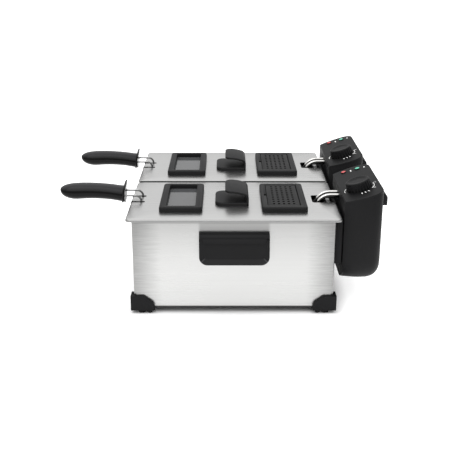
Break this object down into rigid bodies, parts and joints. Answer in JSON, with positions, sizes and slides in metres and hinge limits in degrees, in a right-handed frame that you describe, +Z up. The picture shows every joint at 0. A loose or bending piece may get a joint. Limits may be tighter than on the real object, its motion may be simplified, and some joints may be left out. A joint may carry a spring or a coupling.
{
  "type": "deep fryer",
  "caption": "Twin electric deep fryer: steel case with lift-out tanks, wire baskets, lids with window and vent, and lift-off control heads.",
  "frame": {"origin": "on the table, under the middle of the whole outline", "axes": "+X from the basket handles to the control heads, +Y from the front unit to the rear unit, +Z up"},
  "size_m": [0.487, 0.404, 0.19],
  "materials": {
    "case_steel": "brushed stainless sheet, grain along the case",
    "lid_steel": "finely brushed stainless sheet",
    "tank_steel": "satin stainless pressing",
    "base_steel": "dark painted plate",
    "bright_tube": "bright nickel-plated tube",
    "bright_wire": "bright chromed wire",
    "black_plastic": "black moulded plastic, fine grain",
    "grey_plastic": "dark grey moulded plastic, satin",
    "grip_plastic": "black plastic, soft gloss",
    "knob_plastic": "black plastic",
    "window_glass": "tinted heat-proof glass",
    "filter_mesh": "knitted metal filter mat",
    "thermostat_case": "pale moulded housing",
    "lamp_red": "clear red lens",
    "lamp_green": "clear green lens",
    "soft_rubber": "black rubber",
    "rubber_foot": "black rubber"
  },
  "bodies": {
    "housing": {"case": "case_steel", "base_plate": "base_steel", "foot_guards": "black_plastic", "foot_pads": "rubber_foot", "guide_blocks": "black_plastic", "carry_handles": "black_plastic"},
    "oil_tank_front": {"tank_front": "tank_steel"},
    "heater_front": {"heating_element_front": "bright_tube", "thermostat_probe_front": "bright_tube", "head_body_front": "black_plastic", "lift_ledge_front": "black_plastic", "head_plate_front": "black_plastic", "control_panel_front": "black_plastic", "thermostat_front": "thermostat_case", "lamp_red_front": "lamp_red", "lamp_green_front": "lamp_green", "cord_gland_front": "soft_rubber"},
    "basket_set_front": {"basket_floor_front": "bright_wire", "basket_sides_front": "bright_wire", "basket_ends_front": "bright_wire", "basket_rim_front": "bright_wire", "basket_frame_front": "bright_wire"},
    "basket_handle_front": {"handle_wires_front": "bright_wire", "handle_grip_front": "grip_plastic"},
    "lid_set_front": {"lid_front": "lid_steel", "window_frame_front": "grey_plastic", "window_glass_front": "window_glass", "lid_handle_front": "grey_plastic", "vent_base_front": "grey_plastic", "vent_filter_front": "filter_mesh"},
    "grille_front": {"vent_grille_front": "grey_plastic"},
    "dial_front": {"knob_front": "knob_plastic"},
    "reset_front": {"reset_button_front": "soft_rubber"},
    "oil_tank_rear": {"tank_rear": "tank_steel"},
    "heater_rear": {"heating_element_rear": "bright_tube", "thermostat_probe_rear": "bright_tube", "head_body_rear": "black_plastic", "lift_ledge_rear": "black_plastic", "head_plate_rear": "black_plastic", "control_panel_rear": "black_plastic", "thermostat_rear": "thermostat_case", "lamp_red_rear": "lamp_red", "lamp_green_rear": "lamp_green", "cord_gland_rear": "soft_rubber"},
    "basket_set_rear": {"basket_floor_rear": "bright_wire", "basket_sides_rear": "bright_wire", "basket_ends_rear": "bright_wire", "basket_rim_rear": "bright_wire", "basket_frame_rear": "bright_wire"},
    "basket_handle_rear": {"handle_wires_rear": "bright_wire", "handle_grip_rear": "grip_plastic"},
    "lid_set_rear": {"lid_rear": "lid_steel", "window_frame_rear": "grey_plastic", "window_glass_rear": "window_glass", "lid_handle_rear": "grey_plastic", "vent_base_rear": "grey_plastic", "vent_filter_rear": "filter_mesh"},
    "grille_rear": {"vent_grille_rear": "grey_plastic"},
    "dial_rear": {"knob_rear": "knob_plastic"},
    "reset_rear": {"reset_button_rear": "soft_rubber"}
  },
  "joints": [
    {"name": "tank_lift_front", "type": "slide", "parent": "housing", "child": "oil_tank_front", "axis": [0, 0, 1], "range_m": [0, 0.115]},
    {"name": "heater_lift_front", "type": "slide", "parent": "oil_tank_front", "child": "heater_front", "axis": [0, 0, 1], "range_m": [0, 0.11]},
    {"name": "basket_lift_front", "type": "slide", "parent": "heater_front", "child": "basket_set_front", "axis": [0, 0, 1], "range_m": [0, 0.11]},
    {"name": "handle_unhook_front", "type": "slide", "parent": "basket_set_front", "child": "basket_handle_front", "axis": [0, 0, 1], "range_m": [0, 0.03]},
    {"name": "lid_lift_front", "type": "slide", "parent": "basket_set_front", "child": "lid_set_front", "axis": [0, 0, 1], "range_m": [0, 0.12]},
    {"name": "grille_hinge_front", "type": "hinge", "parent": "lid_set_front", "child": "grille_front", "pos_m": [0.1119, -0.09625, 0.151], "axis": [0, 1, 0], "range_deg": [0, 95]},
    {"name": "dial_turn_front", "type": "hinge", "parent": "heater_front", "child": "dial_front", "pos_m": [0.20024, -0.12725, 0.17266], "axis": [-0.3024, 0, 0.9532], "range_deg": [-270, 0]},
    {"name": "reset_press_front", "type": "slide", "parent": "heater_front", "child": "reset_front", "axis": [-1, 0, 0], "range_m": [0, 0.002], "stiffness_N_per_m": 400},
    {"name": "tank_lift_rear", "type": "slide", "parent": "housing", "child": "oil_tank_rear", "axis": [0, 0, 1], "range_m": [0, 0.115]},
    {"name": "heater_lift_rear", "type": "slide", "parent": "oil_tank_rear", "child": "heater_rear", "axis": [0, 0, 1], "range_m": [0, 0.11]},
    {"name": "basket_lift_rear", "type": "slide", "parent": "heater_rear", "child": "basket_set_rear", "axis": [0, 0, 1], "range_m": [0, 0.11]},
    {"name": "handle_unhook_rear", "type": "slide", "parent": "basket_set_rear", "child": "basket_handle_rear", "axis": [0, 0, 1], "range_m": [0, 0.03]},
    {"name": "lid_lift_rear", "type": "slide", "parent": "basket_set_rear", "child": "lid_set_rear", "axis": [0, 0, 1], "range_m": [0, 0.12]},
    {"name": "grille_hinge_rear", "type": "hinge", "parent": "lid_set_rear", "child": "grille_rear", "pos_m": [0.1119, 0.09625, 0.151], "axis": [0, 1, 0], "range_deg": [0, 95]},
    {"name": "dial_turn_rear", "type": "hinge", "parent": "heater_rear", "child": "dial_rear", "pos_m": [0.20024, 0.06525, 0.17266], "axis": [-0.3024, 0, 0.9532], "range_deg": [-270, 0]},
    {"name": "reset_press_rear", "type": "slide", "parent": "heater_rear", "child": "reset_rear", "axis": [-1, 0, 0], "range_m": [0, 0.002], "stiffness_N_per_m": 400}
  ]
}
